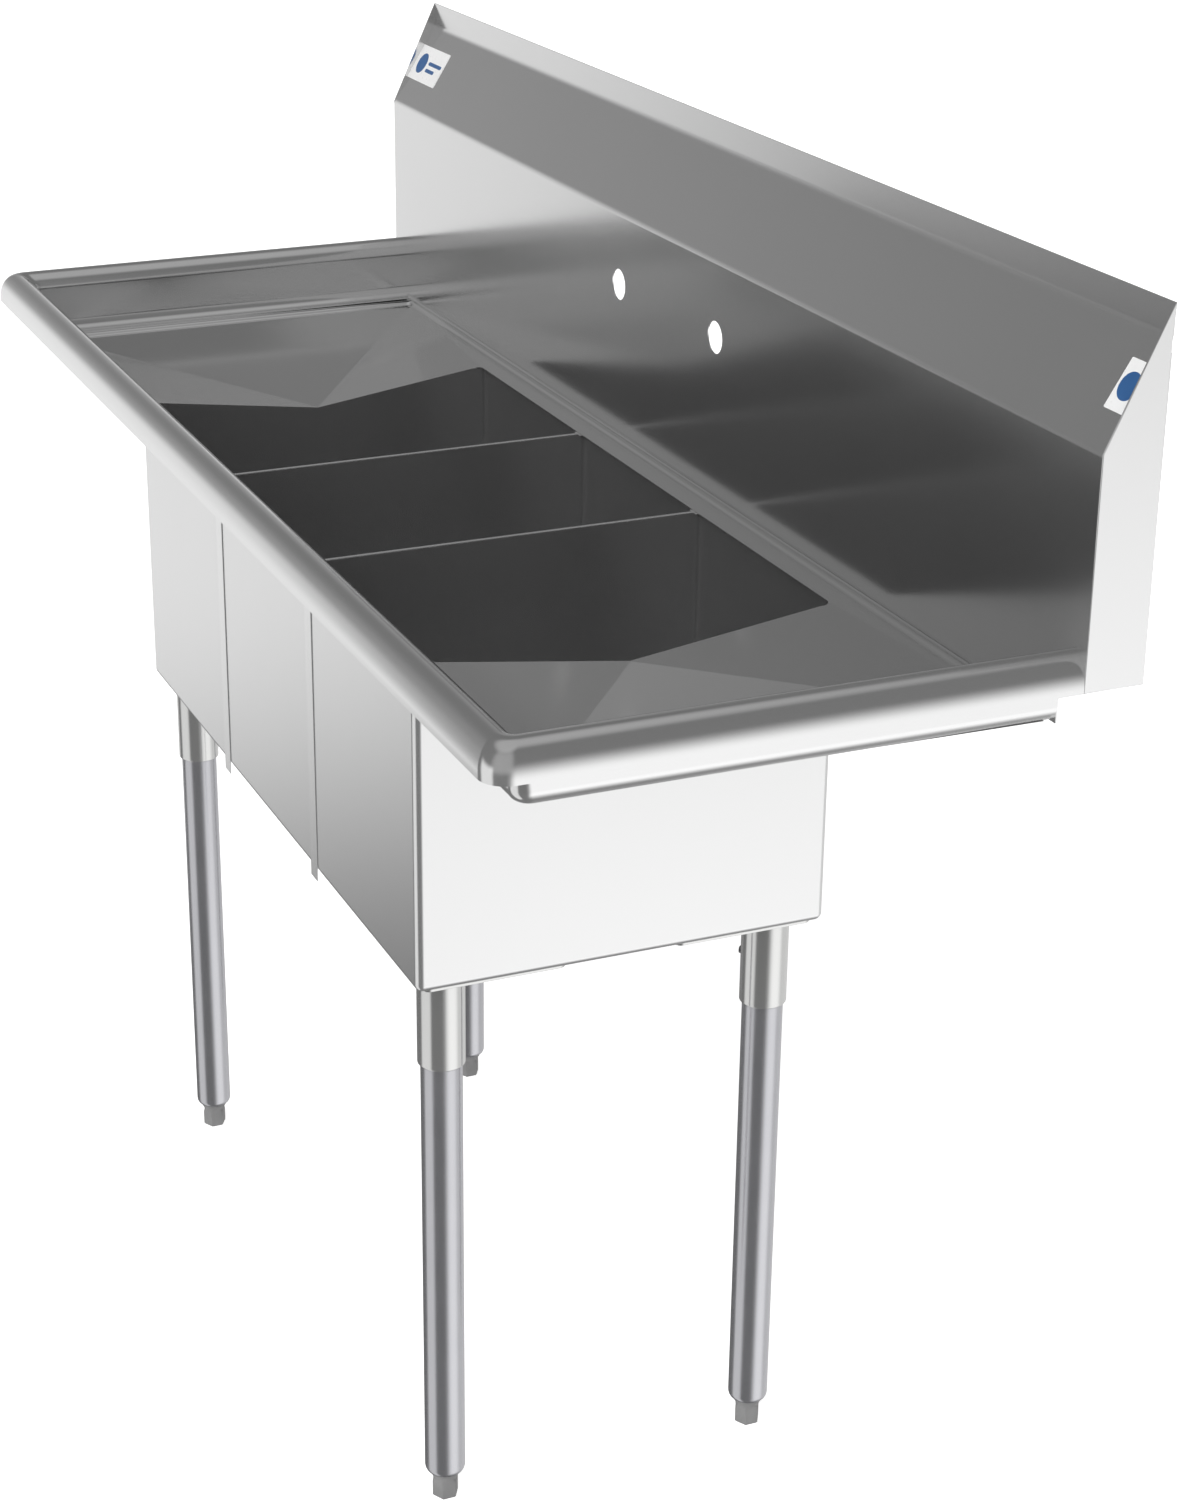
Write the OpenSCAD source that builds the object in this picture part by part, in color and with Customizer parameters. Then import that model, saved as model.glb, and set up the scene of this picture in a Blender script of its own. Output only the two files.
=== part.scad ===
// Three compartment sink with two drainboards and a backsplash, millimetres.
// X runs left to right, Y from the front rim to the wall, Z up from the floor.
// The origin is on the floor, under the middle of the sink.

/* [Overall] */
// Length over the two end rims
sink_length = 1406; // [1390:1:1440]
// Depth from the front rim to the wall
sink_depth = 499; // [495:1:520]
// Thickness of the stainless sheet
sheet = 1.2; // [0.9:0.1:1.5]

/* [Rim and drainboards] */
// Height of the rim's ridge above the floor
rim_height = 859; // [840:1:880]
// Width of the half-round rim
rim_width = 33; // [30:1:36]
// Ridge of the rim down to the open lower edge of its skirt
skirt_drop = 28; // [24:1:32]
// Ridge of the rim down to the ledge inside it
recess_depth = 61.5; // [58:0.5:64]
// Radius where the rim's inner wall meets the ledge
cove_r = 12; // [8:1:13]
// Outer face of the end rim to the drainboard's step
side_ledge = 56; // [52:1:60]
// Outer face of the front rim to the front step
front_ledge = 49; // [46:1:50]
// Drop of the step from the ledge to the drainboard
step_height = 3.5; // [3:0.5:6]
// Width of the sloping step in plan
step_width = 4; // [3:0.5:5]
// Fall of the drainboard from the step to its lowest point
board_fall = 24; // [15:0.5:30]
// Radius where the ledge meets the backsplash
back_cove_r = 3; // [2:0.5:4]

/* [Bowls] */
// Width of one bowl outside, also the spacing of the bowls
bowl_width = 254; // [250:1:256]
// Length of one bowl outside, front to back
bowl_length = 362; // [358:1:363]
// Length of the deck's opening over the bowls, front to back
opening_length = 350; // [344:1:354]
// Height of the underside of the bowls above the floor
bowl_bottom = 512; // [480:1:540]
// Radius of the bowls' upright corners
bowl_corner_r = 12; // [10:1:14]
// Radius of the bowls' bottom edges
bowl_edge_r = 10; // [6:1:10]
// Radius of the drain hole in each bowl
drain_hole_r = 44.45; // [44.1:0.05:46]
// Width of the cover strips between the bowls' front faces
strip_width = 17; // [14:1:20]
// How far the cover strips stand proud of the bowls
strip_proud = 1.5; // [1:0.1:2]
// How far the cover strips reach below the bowls
strip_tail = 8; // [4:1:10]

/* [Backsplash] */
// Depth of the backsplash from its front plane to the wall
splash_depth = 49; // [45:1:52]
// Height at which the backsplash starts to slope back
bend_height = 1006; // [980:1:1020]
// Height at which the slope meets the wall flange
flange_height = 1082; // [1070:1:1090]
// Height of the top of the wall flange
top_height = 1107; // [1100:1:1115]
// Spacing of the two faucet holes
faucet_spacing = 203.2; // [190:0.1:210]
// Radius of a faucet hole
faucet_r = 14.3; // [12:0.1:16]
// Height of the faucet holes above the floor
faucet_height = 940; // [920:1:960]

/* [Legs] */
// Leg centres from the middle of the sink, left and right
leg_x = 346.5; // [340:0.5:348]
// Front leg centres from the front face of the bowls
leg_inset_front = 33; // [31:0.5:36]
// Back leg centres from the back face of the bowls
leg_inset_back = 36.5; // [32:0.5:38]
// Radius of a leg tube outside
leg_r = 17.5; // [16:0.5:17.5]
// Wall of a leg tube
leg_wall = 1.5; // [1:0.1:2]
// Height of the lower end of a leg tube above the floor
leg_end = 27; // [25:1:30]
// Length of a leg socket under its plate
socket_length = 80; // [70:1:90]
// Radius of a leg socket outside
socket_r = 20; // [20:0.5:21]
// Thickness of the leg plates
plate = 3; // [2:0.5:4]
// Radius of a set screw
set_screw_r = 3.5; // [3:0.5:4]

/* [Feet] */
// Radius over the corners of a foot's hexagon
foot_r = 11.8; // [10:0.1:12]
// Radius of a foot's threaded stud
stud_r = 6; // [5:0.5:7]
// Length of a foot's stud above its collar
stud_length = 56; // [50:1:60]

/* [Drains] */
// Radius of a drain's flange on the bowl floor
flange_r = 57; // [55:0.5:60]
// Radius of a drain's threaded cup
cup_r = 42; // [41:0.1:42]
// Depth of a drain's cup below the bowl floor
cup_depth = 34; // [32:1:42]
// Radius of a drain's outlet thread
outlet_r = 24.15; // [23:0.05:24.5]
// Depth of a drain's outlet below the bowl floor
outlet_depth = 54; // [50:1:68]
// Radius of a strainer basket
basket_r = 37; // [35:0.5:38]

/* [Labels] */
// Height of the labels along the slope
label_height = 39; // [30:1:45]
// Width of the left label
left_label = 78; // [60:1:85]
// Width of the right label
right_label = 27; // [20:1:35]

/* [Hidden] */
$fn = 64;
clearance = 0.05;
half_l = sink_length / 2;
front = -sink_depth / 2;
back = sink_depth / 2;
splash_y = back - splash_depth;

// Heights of the deck
rim_r = rim_width / 2;
rim_axis_z = rim_height - rim_r;
skirt_z = rim_height - skirt_drop;
ledge_z = rim_height - recess_depth;
floor_z = ledge_z - step_height;
low_z = floor_z - board_fall;

// Plan of the deck
rim_run = rim_width + cove_r;
board_x = half_l - side_ledge - step_width;
board_y0 = front + front_ledge + step_width;
board_y1 = splash_y - back_cove_r - step_width;
board_half = (board_y1 - board_y0) / 2;
board_mid = (board_y0 + board_y1) / 2;
bowls_half = 1.5 * bowl_width;
bowl_front = board_mid - bowl_length / 2;
bowl_back = board_mid + bowl_length / 2;
fall_y0 = board_mid - opening_length / 2;
fall_y1 = board_mid + opening_length / 2;
cap_height = 1.4;
cap_width = 2 * sheet + 0.6;

// Backsplash bends
slope_y = splash_depth - sheet;
slope_z = flange_height - bend_height;
slope_angle = atan2(slope_y, slope_z);
slope_length = sqrt(slope_y * slope_y + slope_z * slope_z);
bend_set = sheet * tan(slope_angle / 2);
return_width = 12;

// Legs
leg_front = bowl_front + leg_inset_front;
leg_back = bowl_back - leg_inset_back;
plate_z = bowl_bottom - plate;
socket_z = plate_z - socket_length;
leg_bore_r = leg_r - leg_wall;
leg_top = plate_z - 4;
taper = 6;
insert_z = leg_end + taper + 0.5;
screw_heights = [plate_z - 11, plate_z - 37];

// Feet
hex_height = 19;
collar_r = 13;
collar_z = leg_end - 3;

// Drains, with heights measured from the bowl floor
bowl_floor = bowl_bottom + sheet;
cup_wall = 2.5;
seat_z = 2 - cup_depth;
stopper = 4;
basket_z = seat_z + stopper;

// Places of the repeated parts: -1 is left or front, 1 is right or back
function leg_at(side, end) = [side * leg_x, end < 0 ? leg_front : leg_back, 0];
function bowl_at(place) = [place * bowl_width, board_mid, 0];
function drain_at(place) = [place * bowl_width, board_mid, bowl_floor];

// Lays a profile drawn as (y, z) along X, from -half to half
module along_x(half) {
    translate([-half, 0, 0]) rotate([90, 0, 90]) linear_extrude(2 * half) children();
}

// A tube or ring standing on the XY plane
module ring(outer, inner, height) {
    difference() {
        cylinder(r = outer, h = height);
        translate([0, 0, -1]) cylinder(r = inner, h = height + 2);
    }
}

// Section of the rim: u runs inwards from its outer face, v is the height
module rim_profile() {
    translate([0, skirt_z]) square([sheet, rim_axis_z - skirt_z]);
    intersection() {
        translate([rim_r, rim_axis_z]) difference() {
            circle(rim_r);
            circle(rim_r - sheet);
        }
        translate([0, rim_axis_z]) square([rim_width, rim_r]);
    }
    translate([rim_width - sheet, ledge_z + cove_r])
        square([sheet, rim_axis_z - ledge_z - cove_r]);
    translate([rim_run, ledge_z + cove_r]) intersection() {
        difference() {
            circle(cove_r + sheet);
            circle(cove_r);
        }
        translate([-cove_r - sheet, -cove_r - sheet]) square(cove_r + sheet);
    }
}

module front_rim() {
    intersection() {
        translate([0, front, 0]) along_x(half_l) rim_profile();
        linear_extrude(2 * rim_height) polygon([
            [-half_l + rim_r, front], [half_l - rim_r, front],
            [half_l - rim_r, front + rim_r], [half_l - rim_run, front + rim_run],
            [-half_l + rim_run, front + rim_run], [-half_l + rim_r, front + rim_r]]);
    }
}

// Right-hand end rim, with its front corner rounded like a ball
module end_rim() {
    intersection() {
        translate([half_l, front, 0]) rotate([90, 0, 180])
            linear_extrude(splash_y - front) rim_profile();
        linear_extrude(2 * rim_height) polygon([
            [half_l, front + rim_r], [half_l, splash_y],
            [half_l - rim_run, splash_y], [half_l - rim_run, front + rim_run],
            [half_l - rim_r, front + rim_r]]);
    }
    translate([half_l - rim_r, front + rim_r, 0]) rotate([0, 0, -90])
        rotate_extrude(angle = 90) intersection() {
            translate([rim_r, 0]) mirror([1, 0]) rim_profile();
            square([rim_r, 2 * rim_height]);
        }
}

// Flat ledge around the recessed floor
module ledge() {
    outer_x = half_l - rim_run;
    inner_x = half_l - side_ledge;
    translate([0, 0, ledge_z - sheet]) difference() {
        translate([-outer_x, front + rim_run, 0])
            cube([2 * outer_x, splash_y - front - rim_run, sheet]);
        translate([-inner_x, board_y0 - step_width, -1])
            cube([2 * inner_x, 2 * (board_half + step_width), sheet + 2]);
    }
}

// Sloping step from the ledge to the floor, mitred at its four corners
module step() {
    half_x = board_x + step_width;
    half_y = board_half + step_width;
    translate([0, board_mid, 0]) for (quarter = [0:3]) {
        run = quarter % 2 == 0 ? half_x : half_y;
        out = quarter % 2 == 0 ? half_y : half_x;
        rotate([0, 0, 90 * quarter]) intersection() {
            translate([0, -out, 0]) along_x(run) polygon([
                [0, ledge_z], [step_width, floor_z],
                [step_width, floor_z - sheet], [0, ledge_z - sheet]]);
            linear_extrude(2 * rim_height) polygon([
                [-run, -out], [run, -out],
                [run - step_width, -out + step_width],
                [-run + step_width, -out + step_width]]);
        }
    }
}

// Creased drainboard on the right: three planes that fall to the bowl's side, with flat
// triangles at its front and back
module board() {
    top = [
        [bowls_half, board_mid, low_z],
        [board_x, board_y0, floor_z], [board_x, board_y1, floor_z],
        [bowls_half, fall_y0, floor_z], [bowls_half, fall_y1, floor_z],
        [bowls_half, board_y0, floor_z], [bowls_half, board_y1, floor_z]];
    under = [for (p = top) p - [0, 0, sheet]];
    round_edge = [[5, 1], [1, 2], [2, 6], [6, 4], [4, 0], [0, 3], [3, 5]];
    polyhedron(
        points = concat(top, under),
        faces = concat(
            [[0, 2, 1], [3, 0, 1], [0, 4, 2], [5, 3, 1], [4, 6, 2]],
            [[7, 8, 9], [10, 8, 7], [7, 9, 11], [12, 8, 10], [11, 9, 13]],
            [for (e = round_edge) [e[0], e[1], e[1] + 7, e[0] + 7]]));
}

// Outline in plan of a rounded rectangle
module rounded_rect(width, length, r) {
    square([width - 2 * r, length], center = true);
    square([width, length - 2 * r], center = true);
    for (x = [-1, 1], y = [-1, 1])
        translate([x * (width / 2 - r), y * (length / 2 - r)]) circle(r);
}

// Section of the floor beside the bowls as (y, z), from a depth below it to a height above
module fall_profile(below, above) {
    line = [[board_y0, floor_z], [fall_y0, floor_z], [board_mid, low_z],
        [fall_y1, floor_z], [board_y1, floor_z]];
    polygon(concat(
        [for (p = line) p + [0, above]],
        [for (i = [4:-1:0]) line[i] - [0, below]]));
}

// Strips of floor before and behind the bowls, overhanging the bowls' walls a little
module board_strips() {
    translate([0, board_mid, floor_z - sheet]) linear_extrude(sheet) difference() {
        square([2 * bowls_half, 2 * board_half], center = true);
        rounded_rect(2 * bowls_half, opening_length, bowl_corner_r);
    }
}

// Fillet between the ledge and the backsplash
module back_cove() {
    translate([0, splash_y - back_cove_r, ledge_z]) along_x(half_l - rim_width) difference() {
        square(back_cove_r);
        translate([0, back_cove_r]) circle(back_cove_r);
    }
}

module deck() {
    color("silver") {
        back_cove();
        front_rim();
        end_rim();
        mirror([1, 0, 0]) end_rim();
        ledge();
        step();
        board();
        mirror([1, 0, 0]) board();
        board_strips();
    }
}

module backsplash() {
    color("lightgray") difference() {
        along_x(half_l - sheet) polygon([
            [splash_y, ledge_z - sheet], [splash_y, bend_height],
            [back - sheet, flange_height], [back - sheet, top_height],
            [back, top_height], [back, flange_height - bend_set],
            [splash_y + sheet, bend_height - bend_set],
            [splash_y + sheet, ledge_z - sheet]]);
        // the sheet stops at the skirt's lower edge behind the end rims
        for (side = [-1, 1])
            translate([side * (half_l - rim_run / 2 + cove_r / 2 - sheet / 2), splash_y, skirt_z - 50])
                cube([rim_width - sheet, 10, 100], center = true);
        for (side = [-1, 1])
            translate([side * faucet_spacing / 2, splash_y + 5, faucet_height])
                rotate([90, 0, 0]) cylinder(r = faucet_r, h = 10);
    }
}

// Cap that closes one end of the backsplash, with returns along its back and foot
module end_cap(side) {
    wall = half_l - sheet;
    color("gainsboro") mirror([side < 0 ? 1 : 0, 0, 0]) {
        translate([wall, 0, 0]) rotate([90, 0, 90]) linear_extrude(sheet) polygon([
            [splash_y, skirt_z], [splash_y, bend_height],
            [back - sheet, flange_height], [back - sheet, top_height],
            [back, top_height], [back, skirt_z]]);
        translate([wall - return_width, back - sheet, skirt_z])
            cube([return_width, sheet, flange_height - skirt_z - 10]);
        translate([wall - return_width, splash_y + sheet + 1, skirt_z])
            cube([return_width, splash_depth - 2 * sheet - 1, sheet]);
    }
}

// Solid with rounded upright corners and rounded bottom edges
module tub(width, length, height, corner_r, edge_r) {
    module wall_profile(span) {
        translate([-span / 2, edge_r]) square([span, height - edge_r]);
        translate([-span / 2 + edge_r, 0]) square([span - 2 * edge_r, height]);
        for (side = [-1, 1]) translate([side * (span / 2 - edge_r), edge_r]) circle(edge_r);
    }
    along_x(width / 2 - corner_r) wall_profile(length);
    rotate([0, 0, 90]) along_x(length / 2 - corner_r) wall_profile(width);
    for (x = [-1, 1], y = [-1, 1])
        translate([x * (width / 2 - corner_r), y * (length / 2 - corner_r), 0])
            rotate_extrude() {
                square([corner_r - edge_r, height]);
                translate([0, edge_r]) square([corner_r, height - edge_r]);
                intersection() {
                    translate([corner_r - edge_r, edge_r]) circle(edge_r);
                    square([corner_r, edge_r]);
                }
            }
}

// One bowl. Its front and back walls stop under the deck, walls beside another bowl stop
// under the divider cap, and the wall beside a drainboard follows the board's fall.
module bowl(place) {
    height = floor_z - bowl_bottom;
    room = 2 * board_fall;
    color("darkgray") difference() {
        translate(bowl_at(place) + [0, 0, bowl_bottom]) difference() {
            tub(bowl_width, bowl_length, height, bowl_corner_r, bowl_edge_r);
            translate([0, 0, sheet]) tub(bowl_width - 2 * sheet, bowl_length - 2 * sheet,
                height, bowl_corner_r - sheet, bowl_edge_r - sheet);
            translate([0, 0, -1]) cylinder(r = drain_hole_r, h = sheet + 2);
        }
        for (side = [-1, 1]) {
            joint = place + side / 2;
            if (abs(joint) < 1)
                translate([joint * bowl_width, board_mid, floor_z - cap_height + room / 2])
                    cube([2 * bowl_corner_r, bowl_length + 2, room], center = true);
            else
                translate([side * (bowls_half - bowl_corner_r / 2 + 1), 0, 0])
                    along_x(bowl_corner_r / 2 + 1) fall_profile(0, room);
        }
        board_strips();
    }
}

// Strip over the joint between two bowls' front faces, with a rib in the joint
module cover_strip(side) {
    bottom = bowl_bottom - strip_tail;
    top = floor_z - 6;
    color("silver") translate([side * bowl_width / 2, bowl_front, bottom]) {
        translate([-strip_width / 2, -strip_proud, 0])
            cube([strip_width, strip_proud, top - bottom]);
        translate([-2, 0, strip_tail + bowl_edge_r]) cube([4, 5, top - bowl_bottom - bowl_edge_r]);
    }
}

// Bar along the top of a divider, widened at its ends between the opening's rounded corners
module divider_cap(side) {
    color("white") translate([side * bowl_width / 2, board_mid, floor_z - cap_height])
        linear_extrude(cap_height) {
            square([cap_width, opening_length], center = true);
            for (end = [-1, 1]) difference() {
                translate([0, end * (opening_length - bowl_corner_r) / 2])
                    square([2 * bowl_corner_r, bowl_corner_r], center = true);
                for (x = [-1, 1])
                    translate([x * bowl_corner_r, end * (opening_length / 2 - bowl_corner_r)])
                        circle(bowl_corner_r);
            }
        }
}

// Plate between a bowl's underside and its leg socket
module leg_plate(side, end) {
    width = 90;
    length = 126;
    edge_x = bowls_half - 6;
    edge_y = end < 0 ? bowl_front + 7 : bowl_back - 7;
    color("silver") translate([side * (edge_x - width / 2), edge_y - end * length / 2, plate_z])
        linear_extrude(plate) rounded_rect(width, length, 8);
}

// Cylinders that lie where a leg's two set screws go, diagonally inwards
module screw_axes(side, end, from_r, to_r, r) {
    for (z = screw_heights)
        translate(leg_at(side, end) + [0, 0, z])
            rotate([0, 90, atan2(-end, -side)]) translate([0, 0, from_r])
                cylinder(r = r, h = to_r - from_r);
}

module leg_socket(side, end) {
    chamfer = 3;
    color("lightgray") difference() {
        translate(leg_at(side, end) + [0, 0, socket_z]) difference() {
            union() {
                cylinder(r1 = leg_r + 0.6, r2 = socket_r, h = chamfer);
                translate([0, 0, chamfer]) cylinder(r = socket_r, h = socket_length - chamfer);
            }
            translate([0, 0, -1]) cylinder(r = leg_r + 2 * clearance, h = socket_length + 2);
        }
        screw_axes(side, end, leg_r - 1, socket_r + 5, set_screw_r + clearance);
    }
}

module set_screws() {
    color("dimgray") for (side = [-1, 1], end = [-1, 1])
        screw_axes(side, end, leg_r + clearance, socket_r + 2, set_screw_r);
}

module leg_tube(side, end) {
    throat_r = 12;
    color("lightsteelblue") translate(leg_at(side, end)) difference() {
        union() {
            translate([0, 0, leg_end]) cylinder(r1 = collar_r + 0.6, r2 = leg_r, h = taper);
            translate([0, 0, leg_end + taper]) cylinder(r = leg_r, h = leg_top - leg_end - taper);
        }
        translate([0, 0, leg_end + taper]) cylinder(r = leg_bore_r, h = leg_top);
        translate([0, 0, leg_end - 1]) cylinder(r = throat_r, h = taper + 2);
    }
}

// Threaded plug held inside the lower end of a leg tube
module foot_insert(side, end) {
    color("gray") translate(leg_at(side, end) + [0, 0, insert_z])
        ring(leg_bore_r - clearance, stud_r + clearance, 16);
}

// Bullet foot: a hexagon with a bevelled sole, a flared collar and a stud
module foot(side, end) {
    bevel = 2;
    color("dimgray") translate(leg_at(side, end)) {
        cylinder(r1 = foot_r - bevel, r2 = foot_r, h = bevel, $fn = 6);
        translate([0, 0, bevel]) cylinder(r = foot_r, h = hex_height - bevel, $fn = 6);
        translate([0, 0, hex_height])
            cylinder(r1 = foot_r * cos(30), r2 = collar_r, h = collar_z - hex_height);
        translate([0, 0, collar_z]) cylinder(r = collar_r, h = leg_end - collar_z);
        translate([0, 0, leg_end]) cylinder(r = stud_r, h = stud_length);
    }
}

// Flanged cup with a bar across its outlet and a threaded outlet tube
module drain_body(place) {
    outlet_bore = outlet_r - cup_wall;
    color("silver") translate(drain_at(place)) {
        ring(flange_r, cup_r - cup_wall, 2);
        translate([0, 0, -cup_depth]) ring(cup_r, cup_r - cup_wall, cup_depth);
        translate([0, 0, -cup_depth]) ring(cup_r - cup_wall, outlet_bore, 2);
        translate([0, 0, -outlet_depth]) ring(outlet_r, outlet_bore, outlet_depth - cup_depth);
        for (turn = [0, 90]) rotate([0, 0, turn]) translate([0, 0, -cup_depth + 1])
            cube([2 * outlet_bore + 1, 4, 2], center = true);
    }
}

module drain_gasket(place) {
    color("black") translate(drain_at(place) + [0, 0, -sheet - 3])
        ring(cup_r + 12, cup_r + 0.5, 3);
}

module drain_washer(place) {
    color("tan") translate(drain_at(place) + [0, 0, -sheet - 4])
        ring(cup_r + 12, cup_r + 0.5, 1);
}

module drain_locknut(place) {
    height = 10;
    color("silver") translate(drain_at(place) + [0, 0, -sheet - 4 - height]) {
        ring(cup_r + 9, cup_r + clearance, height);
        for (turn = [0:45:315]) rotate([0, 0, turn])
            translate([cup_r + 8, -4, 0]) cube([5, 8, height - 2]);
    }
}

// Perforated basket with a lip, a post and a knob to lift it by
module strainer_basket(place) {
    wall = 1.2;
    height = 28;
    color("silver") translate(drain_at(place) + [0, 0, basket_z]) {
        difference() {
            cylinder(r = basket_r, h = height);
            translate([0, 0, wall]) cylinder(r = basket_r - wall, h = height);
            for (turn = [0:45:315]) rotate([0, 0, turn]) {
                translate([26, 0, -1]) cylinder(r = 3.5, h = 4, $fn = 12);
                translate([basket_r - 4, 0, 15]) rotate([0, 90, 0])
                    cylinder(r = 4, h = 8, $fn = 12);
            }
        }
        translate([0, 0, height - wall]) ring(basket_r + 2, basket_r - wall, wall);
        translate([0, 0, wall]) cylinder(r = 3, h = height + 10);
        translate([0, 0, height + 8]) cylinder(r1 = 5, r2 = 10, h = 4);
        translate([0, 0, height + 12]) cylinder(r = 10, h = 3);
    }
}

module basket_stopper(place) {
    color("black") translate(drain_at(place) + [0, 0, seat_z])
        cylinder(r = outlet_r + 3, h = stopper);
}

// Thin plate stuck to the slope, near one end
module label(side, width, gap) {
    color("white") translate([side * (half_l - gap - width / 2), splash_y, bend_height])
        rotate([-slope_angle, 0, 0])
            translate([-width / 2, -0.4, (slope_length - label_height) / 2 + 4])
                cube([width, 0.4, label_height]);
}

deck();
backsplash();
end_cap(-1);  // end_cap_left
end_cap(1);  // end_cap_right
bowl(-1);  // bowl_left
bowl(0);  // bowl_centre
bowl(1);  // bowl_right
cover_strip(-1);  // cover_strip_left
cover_strip(1);  // cover_strip_right
divider_cap(-1);  // divider_cap_left
divider_cap(1);  // divider_cap_right
leg_plate(-1, -1);  // leg_plate_front_left
leg_plate(1, -1);  // leg_plate_front_right
leg_plate(-1, 1);  // leg_plate_back_left
leg_plate(1, 1);  // leg_plate_back_right
leg_socket(-1, -1);  // leg_socket_front_left
leg_socket(1, -1);  // leg_socket_front_right
leg_socket(-1, 1);  // leg_socket_back_left
leg_socket(1, 1);  // leg_socket_back_right
set_screws();
leg_tube(-1, -1);  // leg_tube_front_left
leg_tube(1, -1);  // leg_tube_front_right
leg_tube(-1, 1);  // leg_tube_back_left
leg_tube(1, 1);  // leg_tube_back_right
foot_insert(-1, -1);  // foot_insert_front_left
foot_insert(1, -1);  // foot_insert_front_right
foot_insert(-1, 1);  // foot_insert_back_left
foot_insert(1, 1);  // foot_insert_back_right
foot(-1, -1);  // foot_front_left
foot(1, -1);  // foot_front_right
foot(-1, 1);  // foot_back_left
foot(1, 1);  // foot_back_right
drain_body(-1);  // drain_body_left
drain_body(0);  // drain_body_centre
drain_body(1);  // drain_body_right
drain_gasket(-1);  // drain_gasket_left
drain_gasket(0);  // drain_gasket_centre
drain_gasket(1);  // drain_gasket_right
drain_washer(-1);  // drain_washer_left
drain_washer(0);  // drain_washer_centre
drain_washer(1);  // drain_washer_right
drain_locknut(-1);  // drain_locknut_left
drain_locknut(0);  // drain_locknut_centre
drain_locknut(1);  // drain_locknut_right
strainer_basket(-1);  // strainer_basket_left
strainer_basket(0);  // strainer_basket_centre
strainer_basket(1);  // strainer_basket_right
basket_stopper(-1);  // basket_stopper_left
basket_stopper(0);  // basket_stopper_centre
basket_stopper(1);  // basket_stopper_right
label(-1, left_label, 1);  // label_left
label(1, right_label, 1);  // label_right
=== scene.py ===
"""Three compartment sink: the looks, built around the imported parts. Metres, Z up, +Y to the wall."""
import math

import bmesh
import bpy
from mathutils import Matrix, Vector


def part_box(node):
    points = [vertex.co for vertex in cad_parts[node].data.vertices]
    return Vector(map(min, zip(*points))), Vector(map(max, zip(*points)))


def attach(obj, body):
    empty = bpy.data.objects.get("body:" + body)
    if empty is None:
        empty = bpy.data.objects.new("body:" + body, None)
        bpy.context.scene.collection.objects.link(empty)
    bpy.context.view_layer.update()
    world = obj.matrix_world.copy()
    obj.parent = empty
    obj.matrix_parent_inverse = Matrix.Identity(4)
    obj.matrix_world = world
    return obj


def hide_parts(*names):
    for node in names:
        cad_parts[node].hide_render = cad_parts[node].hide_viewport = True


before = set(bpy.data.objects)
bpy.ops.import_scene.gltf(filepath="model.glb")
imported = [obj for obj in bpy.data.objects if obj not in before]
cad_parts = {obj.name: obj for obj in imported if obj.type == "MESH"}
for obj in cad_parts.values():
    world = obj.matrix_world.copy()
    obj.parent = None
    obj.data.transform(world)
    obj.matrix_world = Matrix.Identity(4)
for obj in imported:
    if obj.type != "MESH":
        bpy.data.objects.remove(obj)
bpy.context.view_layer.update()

CORNERS = ("front_left", "front_right", "back_left", "back_right")

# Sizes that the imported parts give
DECK_LOW, DECK_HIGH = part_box("deck")
SPLASH_LOW, SPLASH_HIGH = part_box("backsplash")
BOWL_LOW, BOWL_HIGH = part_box("bowl_right")
HALF_LENGTH = DECK_HIGH.x
FRONT = DECK_LOW.y
RIM_TOP = DECK_HIGH.z
SPLASH_Y = SPLASH_LOW.y
WALL_Y = SPLASH_HIGH.y
TOP = SPLASH_HIGH.z
BOWLS_HALF = BOWL_HIGH.x
BOWL_FRONT = BOWL_LOW.y
BOWL_BACK = BOWL_HIGH.y
BOWL_BOTTOM = BOWL_LOW.z
BOWL_WIDTH = BOWL_HIGH.x - BOWL_LOW.x
MID_Y = (BOWL_FRONT + BOWL_BACK) / 2

# Sizes of the deck, backsplash and bowls
SHEET = 0.0012
RIM_R = 0.0165
RIM_WIDTH = 2 * RIM_R
RIM_CORNER = 0.020
RIM_CORNER_LEAST = 0.008
RIM_CORNER_TAPER = 0.5
SKIRT = RIM_TOP - 0.028
SKIRT_LIP = 0.004
LEDGE = RIM_TOP - 0.0615
COVE = 0.012
COVE_CORNER = 0.012
COVE_TAPER = 0.45
SIDE_LEDGE = 0.056
FRONT_LEDGE = 0.049
STEP_WIDTH = 0.004
STEP_DROP = 0.0035
STEP_CORNER = 0.006
STEP_TAPER = 0.5
FLOOR_CORNER = 0.004
BACK_COVE = 0.003
FLOOR = LEDGE - STEP_DROP
BOARD_X = HALF_LENGTH - SIDE_LEDGE - STEP_WIDTH
BOARD_FRONT = FRONT + FRONT_LEDGE + STEP_WIDTH
BOARD_BACK = SPLASH_Y - BACK_COVE - STEP_WIDTH
BOARD_FALL = 0.024
OPENING_HALF = 0.175
BOARD_SLOPE = BOARD_FALL / OPENING_HALF
OPENING_CORNER = 0.008
UPRIGHT_R = 0.0065
BOTTOM_EDGE_R = 0.007
BEND = 1.006
FLANGE = 1.082
BACK = WALL_Y - SHEET
SPLASH_BEND_R = 0.003
CAP_TAB = 0.012
FAUCET_X = 0.1016
FAUCET_Z = 0.940
FAUCET_R = 0.0143
DRAIN_HOLE_R = 0.04445
DRILL_LENGTH = 0.02
STRIP_PROUD = 0.0008

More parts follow.
